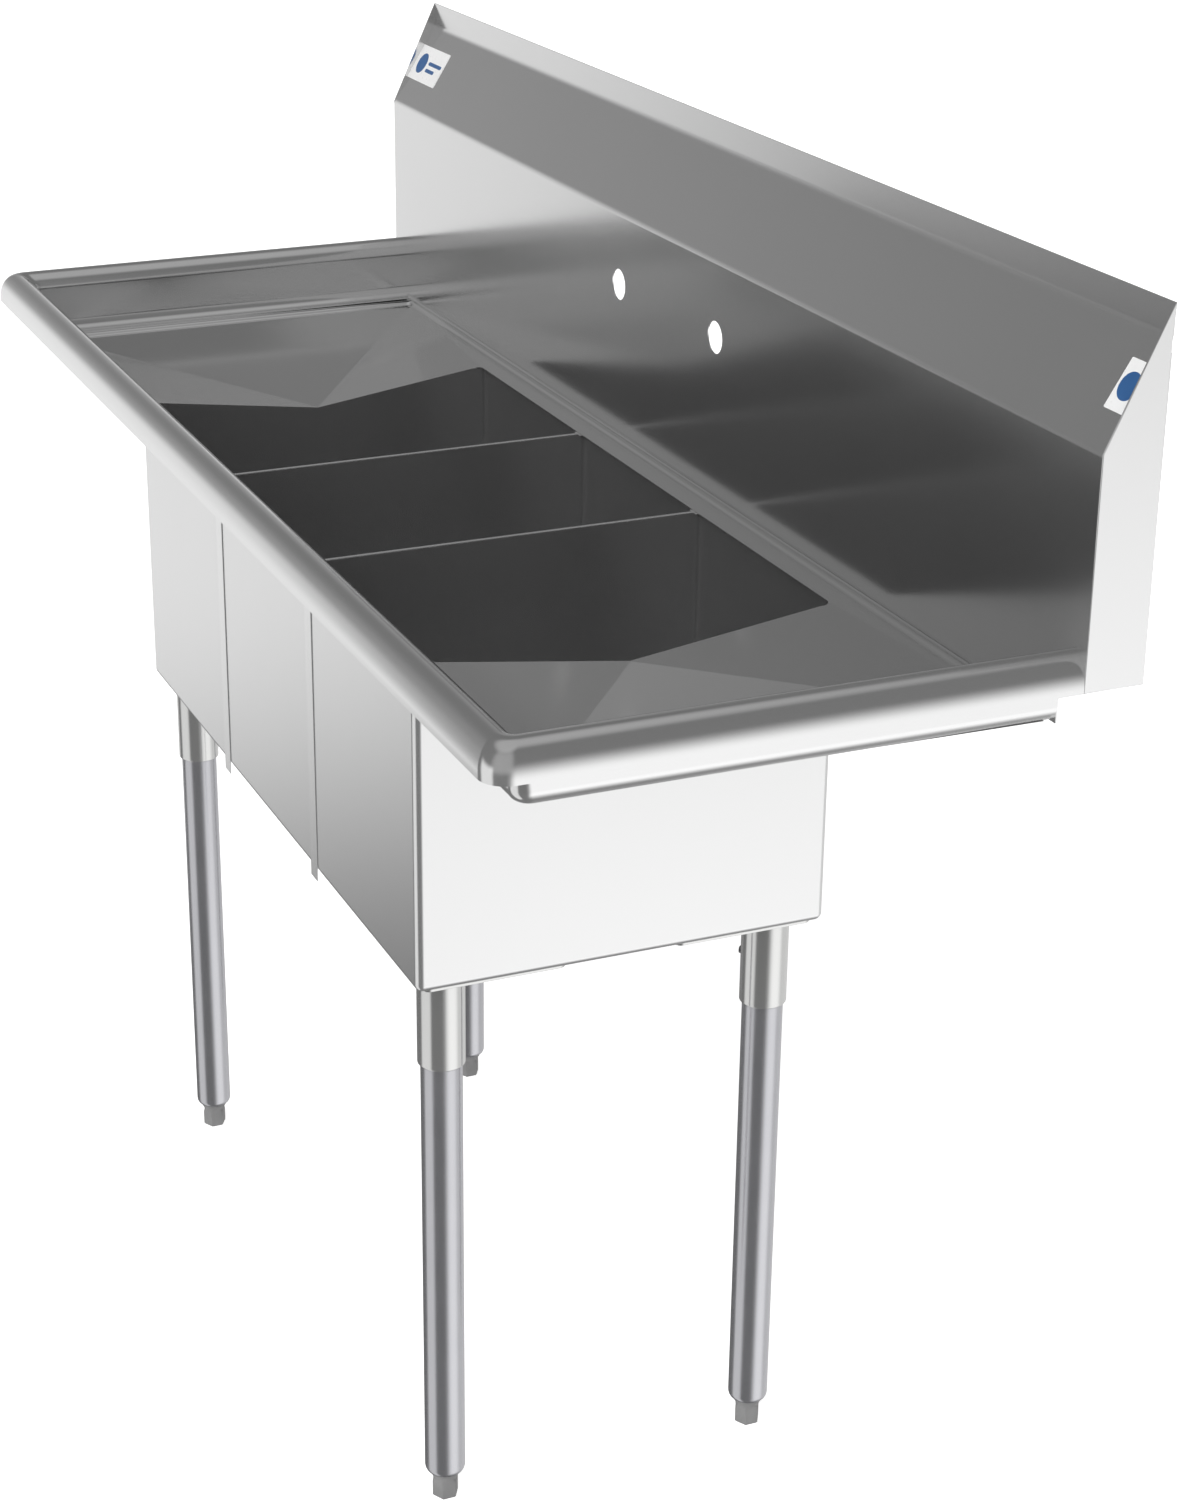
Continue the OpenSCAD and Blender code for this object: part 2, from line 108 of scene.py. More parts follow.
# Sizes of the legs and feet
PLATE_CORNER = 0.008
SOCKET_LENGTH = 0.080
SOCKET_R = 0.0200
SOCKET_BORE = 0.0176
TUBE_R = 0.0175
TUBE_BORE = 0.0160
TUBE_END = 0.027
TUBE_NOSE_R = 0.0136
TUBE_NOSE = 0.006
TUBE_NOSE_BORE = 0.0120
INSERT_R = 0.01595
INSERT_BORE = 0.00605
STUD_TOP = 0.083
STUD_PITCH = 0.0015
STUD_CREST = 0.0060
STUD_ROOT = 0.0053
SCREW_DROPS = (0.011, 0.037)
SCREW_REACH = 0.0219

# Sizes of the drains, from the top of the bowl's floor
CUP_END = 0.034
CUP_R = 0.0420
CUP_BORE = 0.0395
OUTLET_END = BOWL_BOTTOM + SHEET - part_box("drain_body_centre")[0].z
OUTLET_R = 0.02415
OUTLET_BORE = 0.02165
GASKET_THICKNESS = 0.003
WASHER_THICKNESS = 0.001
RING_WIDTH = 0.012
NUT_HEIGHT = 0.010
NUT_LUGS = 8

LABEL_HEIGHT = 0.039
LABEL_RISE = 0.004

SMOOTH_LIMIT = math.radians(32)
CREASE_LIMIT = math.radians(1.0)
MERGE = 1e-6


# ---------------------------------------------------------------- mesh helpers
def edges_of(verts):
    """The edges that meet these vertices, once each and in order."""
    return list(dict.fromkeys(e for v in verts for e in v.link_edges))


def with_parts(faces):
    """Faces with their edges and vertices, as bisect_plane needs them."""
    edges = dict.fromkeys(e for f in faces for e in f.edges)
    verts = dict.fromkeys(v for f in faces for v in f.verts)
    return [*faces, *edges, *verts]


def new_verts(bm, before):
    """The vertices made since before, a set of the earlier ones."""
    return [v for v in bm.verts if v not in before]


def new_object(name, bm):
    """Turns a bmesh into an object at the origin."""
    mesh = bpy.data.meshes.new(name)
    bm.to_mesh(mesh)
    bm.free()
    made = bpy.data.objects.new(name, mesh)
    bpy.context.scene.collection.objects.link(made)
    return made


def bevel_edges(bm, edges, width, segments=3):
    """Rounds edges."""
    bmesh.ops.bevel(bm, geom=list(edges), offset=width, offset_type="OFFSET",
                    segments=segments, profile=0.5, affect="EDGES", material=-1,
                    clamp_overlap=True)


def chain(bm, points, closed=False, rounding=None, segments=8):
    """A line of edges through points. rounding maps a point's number to its corner radius."""
    verts = [bm.verts.new(p) for p in points]
    ends = verts[1:] + verts[:1] if closed else verts[1:]
    edges = [bm.edges.new(pair) for pair in zip(verts, ends)]
    known = set(bm.edges) - set(edges)
    for number, radius in (rounding or {}).items():
        bmesh.ops.bevel(bm, geom=[verts[number]], offset=radius, offset_type="OFFSET",
                        segments=segments, profile=0.5, affect="VERTICES", material=-1,
                        clamp_overlap=True)
    return [e for e in bm.edges if e not in known]


def bridge(bm, loops):
    """Joins each loop to the next with faces."""
    for first, second in zip(loops, loops[1:]):
        bmesh.ops.bridge_loops(bm, edges=first + second)


def lathe(bm, profile, centre, steps=64):
    """Spins a profile of (radius, height) round the upright axis through centre."""
    centre = Vector(centre)
    verts = [bm.verts.new(centre + Vector((r, 0, z))) for r, z in profile]
    edges = [bm.edges.new(pair) for pair in zip(verts, verts[1:])]
    bmesh.ops.spin(bm, geom=verts + edges, cent=centre, axis=(0, 0, 1), angle=2 * math.pi,
                   steps=steps, use_merge=True, use_duplicate=False)
    bmesh.ops.remove_doubles(bm, verts=bm.verts[:], dist=MERGE)


def block(bm, low, high, edge_r=0.0, segments=2):
    """A bar between two corners, with rounded edges."""
    low, high = Vector(low), Vector(high)
    made = bmesh.ops.create_cube(bm, size=1)["verts"]
    bmesh.ops.scale(bm, vec=high - low, verts=made)
    bmesh.ops.translate(bm, vec=(low + high) / 2, verts=made)
    if edge_r:
        bevel_edges(bm, edges_of(made), edge_r, segments)


def turned_rod(bm, start, direction, profile, steps=24):
    """A lathed shape of (radius, distance) along any direction from start."""
    before = set(bm.verts)
    lathe(bm, profile, (0, 0, 0), steps)
    turn = Vector(direction).to_track_quat("Z", "Y").to_matrix().to_4x4()
    bmesh.ops.transform(bm, matrix=Matrix.Translation(start) @ turn, verts=new_verts(bm, before))


def weigh_normals(piece):
    """Large faces keep their own direction beside rounded edges."""
    weighted = piece.modifiers.new("normals", "WEIGHTED_NORMAL")
    weighted.mode = "FACE_AREA"
    weighted.keep_sharp = True


def finish_piece(name, bm, material, nodes, body="sink", limit=SMOOTH_LIMIT,
                 recalc=True, extra=()):
    """Makes the object, with smooth faces up to an angle limit."""
    bmesh.ops.remove_doubles(bm, verts=bm.verts[:], dist=MERGE)
    if recalc:
        bmesh.ops.recalc_face_normals(bm, faces=bm.faces[:])
    for face in bm.faces:
        face.smooth = True
    for edge in bm.edges:
        if len(edge.link_faces) == 2 and edge.calc_face_angle(0) > limit:
            edge.smooth = False
    piece = new_object(name, bm)
    for mat in (material, *extra):
        piece.data.materials.append(mat)
    weigh_normals(piece)
    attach(piece, body)
    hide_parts(*nodes)
    return piece


# ---------------------------------------------------------------- materials
class Nodes:
    """Short ways to add and link the nodes of one tree."""

    def __init__(self, tree):
        self.tree = tree

    def add(self, kind, inputs=None, **settings):
        node = self.tree.nodes.new(kind)
        for key, value in settings.items():
            setattr(node, key, value)
        for key, value in (inputs or {}).items():
            if isinstance(value, bpy.types.NodeSocket):
                self.tree.links.new(value, node.inputs[key])
            else:
                node.inputs[key].default_value = value
        return node

    def math(self, operation, a, b):
        return self.add("ShaderNodeMath", {0: a, 1: b}, operation=operation).outputs[0]

    def ranged(self, value, low, high, to_low=0.0, to_high=1.0, smooth=False):
        node = self.add("ShaderNodeMapRange",
                        {"Value": value, "From Min": low, "From Max": high, "To Min": to_low,
                         "To Max": to_high},
                        interpolation_type="SMOOTHSTEP" if smooth else "LINEAR")
        return node.outputs["Result"]

    def mix(self, factor, a, b):
        node = self.add("ShaderNodeMix", data_type="RGBA")
        for socket, value in ((node.inputs[0], factor), (node.inputs[6], a), (node.inputs[7], b)):
            if isinstance(value, bpy.types.NodeSocket):
                self.tree.links.new(value, socket)
            else:
                socket.default_value = value
        return node.outputs[2]

    def noise(self, vector, scale, detail=3.0, roughness=0.5):
        node = self.add("ShaderNodeTexNoise",
                        {"Vector": vector, "Scale": scale, "Detail": detail,
                         "Roughness": roughness})
        return node.outputs["Fac"]


def new_group(name, inputs, outputs):
    """An empty node group. inputs and outputs are (name, kind, default) and (name, kind)."""
    tree = bpy.data.node_groups.new(name, "ShaderNodeTree")
    for label, kind, default in inputs:
        socket = tree.interface.new_socket(label, in_out="INPUT", socket_type=kind)
        socket.default_value = default
    for label, kind in outputs:
        tree.interface.new_socket(label, in_out="OUTPUT", socket_type=kind)
    return tree, Nodes(tree), tree.nodes.new("NodeGroupInput"), tree.nodes.new("NodeGroupOutput")


def make_rolled_grain():
    """Rolled sheet: fine streaks along one way, and broad soft patches."""
    tree, n, ins, outs = new_group(
        "rolled_grain",
        [("Vector", "NodeSocketVector", (0, 0, 0)), ("Stretch", "NodeSocketVector", (1, 1, 1)),
         ("Streak Scale", "NodeSocketFloat", 400.0), ("Patch Scale", "NodeSocketFloat", 6.0)],
        [("Streaks", "NodeSocketFloat"), ("Patches", "NodeSocketFloat")])
    drawn = n.add("ShaderNodeVectorMath", {0: ins.outputs["Vector"], 1: ins.outputs["Stretch"]},
                  operation="MULTIPLY").outputs[0]
    streaks = n.noise(drawn, ins.outputs["Streak Scale"], 2.0, 0.6)
    patches = n.noise(ins.outputs["Vector"], ins.outputs["Patch Scale"], 3.0, 0.45)
    tree.links.new(streaks, outs.inputs["Streaks"])
    tree.links.new(patches, outs.inputs["Patches"])
    return tree


def make_cast_skin():
    """Moulded or cast skin: fine pits and a slow colour drift."""
    tree, n, ins, outs = new_group(
        "cast_skin",
        [("Vector", "NodeSocketVector", (0, 0, 0)), ("Pit Scale", "NodeSocketFloat", 900.0)],
        [("Pits", "NodeSocketFloat"), ("Drift", "NodeSocketFloat")])
    pits = n.noise(ins.outputs["Vector"], ins.outputs["Pit Scale"], 2.0, 0.6)
    drift = n.noise(ins.outputs["Vector"], 40.0, 2.0, 0.5)
    tree.links.new(pits, outs.inputs["Pits"])
    tree.links.new(drift, outs.inputs["Drift"])
    return tree


ROLLED_GRAIN = make_rolled_grain()
CAST_SKIN = make_cast_skin()


def start_material(name, plain):
    """A material with a Principled shader and its uniform values; returns its parts."""
    mat = bpy.data.materials.new(name)
    mat.use_nodes = True
    tree = mat.node_tree
    tree.nodes.clear()
    n = Nodes(tree)
    shader = n.add("ShaderNodeBsdfPrincipled", plain)
    out = n.add("ShaderNodeOutputMaterial")
    tree.links.new(shader.outputs["BSDF"], out.inputs["Surface"])
    where = n.add("ShaderNodeTexCoord").outputs["Object"]
    return mat, n, shader, where


METAL = 0.94
NOISE_LOW, NOISE_HIGH = 0.3, 0.7


def grey(level):
    return (level, level, level)


def steel(name, light, dark, rough, stretch, streak_scale=900.0, bump=0.012, spread=0.02,
          patch_scale=5.0):
    """Satin steel. rough is the mean roughness, spread how far it wanders."""
    mat, n, shader, where = start_material(name, {"Metallic": METAL})
    grain = n.add("ShaderNodeGroup", node_tree=ROLLED_GRAIN)
    n.tree.links.new(where, grain.inputs["Vector"])
    grain.inputs["Stretch"].default_value = stretch
    grain.inputs["Streak Scale"].default_value = streak_scale
    grain.inputs["Patch Scale"].default_value = patch_scale
    streaks, patches = grain.outputs["Streaks"], grain.outputs["Patches"]
    tone = n.math("ADD", n.math("MULTIPLY", streaks, 0.35), n.math("MULTIPLY", patches, 0.65))
    colour = n.mix(n.ranged(tone, NOISE_LOW, NOISE_HIGH), (*dark, 1), (*light, 1))
    n.tree.links.new(colour, shader.inputs["Base Color"])
    wander = n.math("ADD", n.math("MULTIPLY", streaks, 0.6), n.math("MULTIPLY", patches, 0.4))
    n.tree.links.new(n.ranged(wander, NOISE_LOW, NOISE_HIGH, rough - spread, rough + spread),
                     shader.inputs["Roughness"])
    height = n.add("ShaderNodeBump", {"Height": streaks, "Strength": bump, "Distance": 0.0001})
    n.tree.links.new(height.outputs[0], shader.inputs["Normal"])
    return mat


def moulded(name, light, dark, rough, pit_scale=900.0, bump=0.15, plain=None):
    """Plastic, rubber, fibre or cast brass with a fine pitted skin."""
    mat, n, shader, where = start_material(name, plain or {})
    skin = n.add("ShaderNodeGroup", node_tree=CAST_SKIN)
    n.tree.links.new(where, skin.inputs["Vector"])
    skin.inputs["Pit Scale"].default_value = pit_scale
    pits, drift = skin.outputs["Pits"], skin.outputs["Drift"]
    n.tree.links.new(n.mix(n.ranged(drift, NOISE_LOW, NOISE_HIGH), (*dark, 1), (*light, 1)),
                     shader.inputs["Base Color"])
    n.tree.links.new(n.ranged(pits, NOISE_LOW, NOISE_HIGH, rough - 0.06, rough + 0.06),
                     shader.inputs["Roughness"])
    height = n.add("ShaderNodeBump", {"Height": pits, "Strength": bump, "Distance": 0.0003})
    n.tree.links.new(height.outputs[0], shader.inputs["Normal"])
    return mat


# how far the streaks are drawn out, along the sheet's rolling
ALONG_X = (0.02, 1.0, 1.0)
ALONG_Z = (1.0, 1.0, 0.02)
DECK_STEEL = steel("deck_satin", grey(0.765), grey(0.745), 0.14, ALONG_X)
SPLASH_STEEL = steel("splash_satin", grey(0.765), grey(0.745), 0.17, ALONG_X)
BOWL_STEEL = steel("bowl_satin", grey(0.765), grey(0.745), 0.21, ALONG_Z)
TRIM_STEEL = steel("trim_satin", grey(0.79), grey(0.76), 0.20, ALONG_Z)
SOCKET_STEEL = steel("socket_satin", (0.69, 0.69, 0.683), (0.66, 0.66, 0.653), 0.16, ALONG_Z)
SCREW_STEEL = steel("screw_dark", (0.16, 0.16, 0.165), (0.11, 0.11, 0.115), 0.35, ALONG_Z)
ZINC = steel("zinc_tube", (0.545, 0.545, 0.570), (0.515, 0.515, 0.540), 0.24, (1.0, 1.0, 0.15),
             120.0, 0.006, 0.03, 30.0)
CHROME = steel("drain_bright", (0.80, 0.80, 0.81), (0.77, 0.77, 0.78), 0.12, ALONG_X, 600.0,
               0.01, 0.02)
INSERT_PLASTIC = moulded("insert_grey", (0.12, 0.12, 0.125), (0.09, 0.09, 0.095), 0.5)
FOOT_PLASTIC = moulded("foot_grey", grey(0.20), grey(0.16), 0.48)
RUBBER = moulded("gasket_black", grey(0.022), grey(0.014), 0.7, 500.0, 0.3)
FIBRE = moulded("washer_fibre", (0.34, 0.25, 0.16), (0.24, 0.17, 0.10), 0.8, 300.0, 0.4)
BRASS = moulded("nut_brass", (0.62, 0.47, 0.22), (0.50, 0.37, 0.16), 0.34, 260.0, 0.35,
                {"Metallic": 1.0})
LABEL_FILM = moulded("label_white", grey(0.90), grey(0.86), 0.32, 400.0, 0.04,
                     {"Coat Weight": 0.3})
LABEL_INK = moulded("label_blue", (0.030, 0.115, 0.30), (0.022, 0.095, 0.26), 0.35, 400.0, 0.04,
                    {"Coat Weight": 0.3})


# ---------------------------------------------------------------- deck
def arc_angles(steps, first=0):
    """Angles that divide a quarter turn into equal steps."""
    return [math.pi / 2 * step / steps for step in range(first, steps + 1)]


def rim_path(bm, inset, height, radius):
    """Path round the deck's rim at one height, open at the back."""
    x, y = HALF_LENGTH - inset, FRONT + inset
    points = [(-x, SPLASH_Y, height), (-x, y, height), (x, y, height), (x, SPLASH_Y, height)]
    return chain(bm, points, rounding={1: radius, 2: radius})


def deck_loop(bm, x, y0, y1, height, radius, back_radius=None):
    """Closed loop round the recessed part of the deck."""
    points = [(-x, y1, height), (-x, y0, height), (x, y0, height), (x, y1, height)]
    rear = radius if back_radius is None else back_radius
    rounding = {1: radius, 2: radius}
    if rear:
        rounding.update({0: rear, 3: rear})
    return chain(bm, points, closed=True, rounding=rounding)


def board_height(x, y):
    """Height of the creased drainboards and the flat strips round the bowls."""
    reach = BOARD_X - BOWLS_HALF
    out = (abs(x) - BOWLS_HALF) / reach
    opening_front, opening_back = MID_Y - OPENING_HALF, MID_Y + OPENING_HALF
    line_front = opening_front + out * (BOARD_FRONT - opening_front)
    line_back = opening_back + out * (BOARD_BACK - opening_back)
    end_plane = FLOOR - BOARD_FALL * (1 - out)
    front_plane = FLOOR - (y - line_front) * BOARD_SLOPE
    back_plane = FLOOR - (line_back - y) * BOARD_SLOPE
    return min(FLOOR, max(end_plane, front_plane, back_plane))


def rim_rings():
    """(inset, height, corner radius) from the skirt's lower edge over the roll down to the ledge."""
    drop = RIM_TOP - SKIRT - SKIRT_LIP
    rings = [(0.0, SKIRT), (0.0, SKIRT + SKIRT_LIP / 2)]
    for angle in arc_angles(18):
        rings.append((RIM_R * (1 - math.cos(angle)), RIM_TOP - drop * (1 - math.sin(angle))))
    for angle in arc_angles(12, 1):
        rings.append((RIM_R * (1 + math.sin(angle)), RIM_TOP - RIM_R * (1 - math.cos(angle))))
    rings = [(inset, height, max(RIM_CORNER - RIM_CORNER_TAPER * inset, RIM_CORNER_LEAST))
             for inset, height in rings]
    rings.append((RIM_WIDTH, LEDGE + COVE, COVE_CORNER))
    for angle in arc_angles(8, 1):
        inset = RIM_WIDTH + COVE * (1 - math.cos(angle))
        height = LEDGE + COVE * (1 - math.sin(angle))
        rings.append((inset, height, COVE_CORNER - COVE_TAPER * (inset - RIM_WIDTH)))
    return rings


def step_down(bm):
    """The flat ledge inside the rim and the step down to the floor."""
    edge = RIM_WIDTH + COVE
    ledge = deck_loop(bm, HALF_LENGTH - edge, FRONT + edge, SPLASH_Y, LEDGE,
                      COVE_CORNER - COVE_TAPER * COVE, 0)
    loops = []
    steps = 6
    for step in range(steps + 1):
        t = step / steps
        drop = STEP_DROP * t * t * (3 - 2 * t)
        run = STEP_WIDTH * t
        loops.append(deck_loop(
            bm, BOARD_X + STEP_WIDTH - run, BOARD_FRONT - STEP_WIDTH + run,
            BOARD_BACK + STEP_WIDTH - run, LEDGE - drop, STEP_CORNER - STEP_TAPER * run))
    bridge(bm, [ledge, loops[0]])
    bridge(bm, loops)


def creased_floor(bm):
    """The floor round the opening over the bowls, cut along the boards' creases and sunk."""
    low, high = MID_Y - OPENING_HALF, MID_Y + OPENING_HALF
    rim = deck_loop(bm, BOARD_X, BOARD_FRONT, BOARD_BACK, FLOOR, FLOOR_CORNER)
    opening = deck_loop(bm, BOWLS_HALF, low, high, FLOOR, OPENING_CORNER)
    filled = bmesh.ops.triangle_fill(bm, use_beauty=True, use_dissolve=False,
                                     edges=rim + opening, normal=(0, 0, 1))["geom"]
    floor = [f for f in filled if isinstance(f, bmesh.types.BMFace)]
    creases = ((MID_Y, BOARD_FRONT), (MID_Y, BOARD_BACK), (low, BOARD_FRONT), (high, BOARD_BACK))
    for side in (-1, 1):
        for near_y, far_y in creases:
            across = Vector((far_y - near_y, -side * (BOARD_X - BOWLS_HALF), 0)).normalized()
            near = [f for f in floor if f.is_valid and side * f.calc_center_median().x > 0]
            cut = bmesh.ops.bisect_plane(bm, geom=with_parts(near), dist=1e-6, plane_no=across,
                                         plane_co=(side * BOWLS_HALF, near_y, FLOOR))
            floor += [f for f in cut["geom"] if isinstance(f, bmesh.types.BMFace)]
            floor = list(dict.fromkeys(floor))
    for vert in dict.fromkeys(v for f in floor if f.is_valid for v in f.verts):
        vert.co.z = board_height(vert.co.x, vert.co.y)


def back_fillet(bm):
    """The small fillet at the foot of the backsplash, up to the cove of each end rim."""
    lines = []
    for angle in arc_angles(4):
        y = SPLASH_Y - BACK_COVE * (1 - math.sin(angle))
        rise = BACK_COVE * (1 - math.cos(angle))
        x = HALF_LENGTH - RIM_WIDTH - COVE * (1 - math.sqrt(1 - (1 - rise / COVE) ** 2))
        lines.append(chain(bm, [(-x, y, LEDGE + rise), (x, y, LEDGE + rise)]))
    bridge(bm, lines)


def sharpen_creases(mesh):
    """Keeps the boards' shallow creases crisp."""
    bm = bmesh.new()
    bm.from_mesh(mesh)
    low = FLOOR + 1e-5
    for edge in bm.edges:
        if len(edge.link_faces) == 2 and all(v.co.z <= low for v in edge.verts):
            if edge.calc_face_angle(0) > CREASE_LIMIT:
                edge.smooth = False
    bm.to_mesh(mesh)
    bm.free()


def make_deck():
    """One folded sheet: rim, ledge, step, creased drainboards and the strips round the bowls."""
    bm = bmesh.new()
    bridge(bm, [rim_path(bm, *ring) for ring in rim_rings()])
    step_down(bm)
    creased_floor(bm)
    back_fillet(bm)
    bmesh.ops.remove_doubles(bm, verts=bm.verts[:], dist=MERGE)
    bmesh.ops.recalc_face_normals(bm, faces=bm.faces[:])
    if sum(f.normal.z for f in bm.faces if f.calc_center_median().z <= FLOOR + 1e-6) < 0:
        bmesh.ops.reverse_faces(bm, faces=bm.faces[:])
    bmesh.ops.solidify(bm, geom=bm.faces[:], thickness=SHEET)
    # the thickness can push the back corners past the backsplash
    for vert in bm.verts:
        vert.co.y = min(vert.co.y, SPLASH_Y)
    piece = finish_piece("deck_sheet", bm, DECK_STEEL, ["deck"], recalc=False)
    sharpen_creases(piece.data)


# ---------------------------------------------------------------- backsplash
def drill(piece, cutters):
    """Cuts the cutters out of a piece and removes them."""
    piece.modifiers.clear()
    for cutter in cutters:
        cut = piece.modifiers.new("hole", "BOOLEAN")
        cut.operation = "DIFFERENCE"
        cut.solver = "EXACT"
        cut.object = cutter
    graph = bpy.context.evaluated_depsgraph_get()
    shape = bpy.data.meshes.new_from_object(piece.evaluated_get(graph))
    old = piece.data
    piece.modifiers.clear()
    piece.data = shape
    shape.name = old.name
    bpy.data.meshes.remove(old)
    weigh_normals(piece)
    for cutter in cutters:
        bpy.data.objects.remove(cutter)


def cutter_rod(start, direction, radius, length, steps=48):
    """A plain rod to drill with."""
    bm = bmesh.new()
    bmesh.ops.create_cone(bm, cap_ends=True, segments=steps, radius1=radius, radius2=radius,
                          depth=length)
    turn = Vector(direction).to_track_quat("Z", "Y").to_matrix().to_4x4()
    bmesh.ops.transform(bm, matrix=Matrix.Translation(start) @ turn, verts=bm.verts[:])
    return new_object("cutter", bm)


def cutter_block(low, high):
    """A plain bar to cut with."""
    bm = bmesh.new()
    block(bm, low, high)
    return new_object("cutter", bm)


def make_backsplash():
    """A folded sheet: upright front with the faucet holes, slope and wall flange."""
    bm = bmesh.new()
    half = HALF_LENGTH - SHEET
    profile = [(-half, SPLASH_Y, LEDGE - SHEET), (-half, SPLASH_Y, BEND), (-half, BACK, FLANGE),
               (-half, BACK, TOP)]
    line = chain(bm, profile, rounding={1: SPLASH_BEND_R, 2: SPLASH_BEND_R}, segments=4)
    made = bmesh.ops.extrude_edge_only(bm, edges=line)["geom"]
    moved = [v for v in made if isinstance(v, bmesh.types.BMVert)]
    bmesh.ops.translate(bm, vec=(2 * half, 0, 0), verts=moved)
    bmesh.ops.recalc_face_normals(bm, faces=bm.faces[:])
    if sum(f.normal.y * f.calc_area() for f in bm.faces) > 0:
        bmesh.ops.reverse_faces(bm, faces=bm.faces[:])
    bmesh.ops.solidify(bm, geom=bm.faces[:], thickness=SHEET)
    piece = finish_piece("backsplash_sheet", bm, SPLASH_STEEL, ["backsplash"],
                         recalc=False)
    cutters = [cutter_rod((side * FAUCET_X, SPLASH_Y, FAUCET_Z), (0, 1, 0), FAUCET_R,
                          DRILL_LENGTH, 64) for side in (-1, 1)]
    # the sheet ends at the skirt's height behind the rims at both ends
    spare = 0.01
    for side in (-1, 1):
        xs = sorted((side * (HALF_LENGTH - RIM_WIDTH), side * (HALF_LENGTH + spare)))
        cutters.append(cutter_block((xs[0], SPLASH_Y - spare, LEDGE - spare),
                                    (xs[1], SPLASH_Y + spare, SKIRT)))
    drill(piece, cutters)


def make_end_cap(side, name):
    """The plate that closes one end of the backsplash, with two tabs inside."""
    bm = bmesh.new()
    outer = side * HALF_LENGTH
    points = [(outer, SPLASH_Y, SKIRT), (outer, SPLASH_Y, BEND), (outer, BACK, FLANGE),
              (outer, BACK, TOP), (outer, WALL_Y, TOP), (outer, WALL_Y, SKIRT)]
    face = bmesh.ops.contextual_create(bm, geom=[bm.verts.new(p) for p in points])["faces"]
    made = bmesh.ops.extrude_face_region(bm, geom=face)["geom"]
    bmesh.ops.translate(bm, vec=(-side * SHEET, 0, 0),
                        verts=[v for v in made if isinstance(v, bmesh.types.BMVert)])
    bmesh.ops.recalc_face_normals(bm, faces=bm.faces[:])
    rounded = [e for e in bm.edges if all(abs(v.co.x - outer) < 1e-6 for v in e.verts)]
    bevel_edges(bm, rounded, 0.0007, 3)
    xs = sorted((outer - side * SHEET, outer - side * (SHEET + CAP_TAB)))
    tab_edge = 0.0003
    block(bm, (xs[0], BACK, SKIRT), (xs[1], WALL_Y, FLANGE - 0.010), tab_edge)
    block(bm, (xs[0], SPLASH_Y + SHEET + 0.001, SKIRT), (xs[1], BACK, SKIRT + SHEET), tab_edge)
    finish_piece("end_cap_plate_" + name, bm, SPLASH_STEEL, ["end_cap_" + name])


# ---------------------------------------------------------------- bowls
def wall_faces(bm, side, inner):
    """The faces of one end wall, outside the line where its rounded corners begin."""
    return [f for f in bm.faces if side * (f.calc_center_median().x - inner) > -1e-6]


def lower_wall(bm, side, inner):
    """Trims an end wall to the fall of the drainboard beside it."""
    faces = wall_faces(bm, side, inner)
    for end in (-1, 1):
        start = (0, MID_Y + end * OPENING_HALF, FLOOR)
        normal = Vector((0, -end * BOARD_SLOPE, 1)).normalized()
        bmesh.ops.bisect_plane(bm, geom=with_parts(faces), plane_co=start, plane_no=normal,
                               dist=1e-7)
        faces = wall_faces(bm, side, inner)
    gone = []
    for face in faces:
        middle = face.calc_center_median()
        if middle.z > FLOOR - (OPENING_HALF - abs(middle.y - MID_Y)) * BOARD_SLOPE + 1e-6:
            gone.append(face)
    bmesh.ops.delete(bm, geom=gone, context="FACES")


def make_bowl(place, name):
    """A deep box with rounded corners and a hole for its drain."""
    bm = bmesh.new()
    x = place * BOWL_WIDTH
    low = (x - BOWL_WIDTH / 2, BOWL_FRONT, BOWL_BOTTOM)
    high = (x + BOWL_WIDTH / 2, BOWL_BACK, FLOOR - SHEET)
    block(bm, low, high)
    lids = [f for f in bm.faces if f.normal.z > 0.5]
    bmesh.ops.delete(bm, geom=lids, context="FACES_ONLY")
    upright = [e for e in bm.edges if abs(e.verts[0].co.z - e.verts[1].co.z) > 0.1]
    bevel_edges(bm, upright, UPRIGHT_R, 8)
    under = [e for e in bm.edges if all(v.co.z < BOWL_BOTTOM + 1e-5 for v in e.verts)]
    bevel_edges(bm, under, BOTTOM_EDGE_R, 6)
    if place:
        lower_wall(bm, place, x + place * (BOWL_WIDTH / 2 - UPRIGHT_R))
    bmesh.ops.recalc_face_normals(bm, faces=bm.faces[:])
    if sum(f.normal.z for f in bm.faces if f.calc_center_median().z < BOWL_BOTTOM + 1e-4) > 0:
        bmesh.ops.reverse_faces(bm, faces=bm.faces[:])
    bmesh.ops.solidify(bm, geom=bm.faces[:], thickness=SHEET)
    piece = finish_piece("bowl_shell_" + name, bm, BOWL_STEEL, ["bowl_" + name],
                         recalc=False)
    # known fault: in the centre and right bowls this cut leaves a raised disc over the drain
    drill(piece, [cutter_rod((x, MID_Y, BOWL_BOTTOM), (0, 0, 1), DRAIN_HOLE_R, DRILL_LENGTH, 64)])


def make_cover_strip(side, name):
    """The strip over the joint of two bowls, with a key that reaches into the joint."""
    bm = bmesh.new()
    low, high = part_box("cover_strip_" + name)
    block(bm, (low.x, BOWL_FRONT - STRIP_PROUD, low.z), (high.x, BOWL_FRONT, high.z), 0.00035, 3)
    joint, key = side * BOWL_WIDTH / 2, 0.002
    block(bm, (joint - key, BOWL_FRONT - 0.0003, low.z + 0.018), (joint + key, high.y, high.z))
    finish_piece("cover_strip_bar_" + name, bm, TRIM_STEEL, ["cover_strip_" + name])


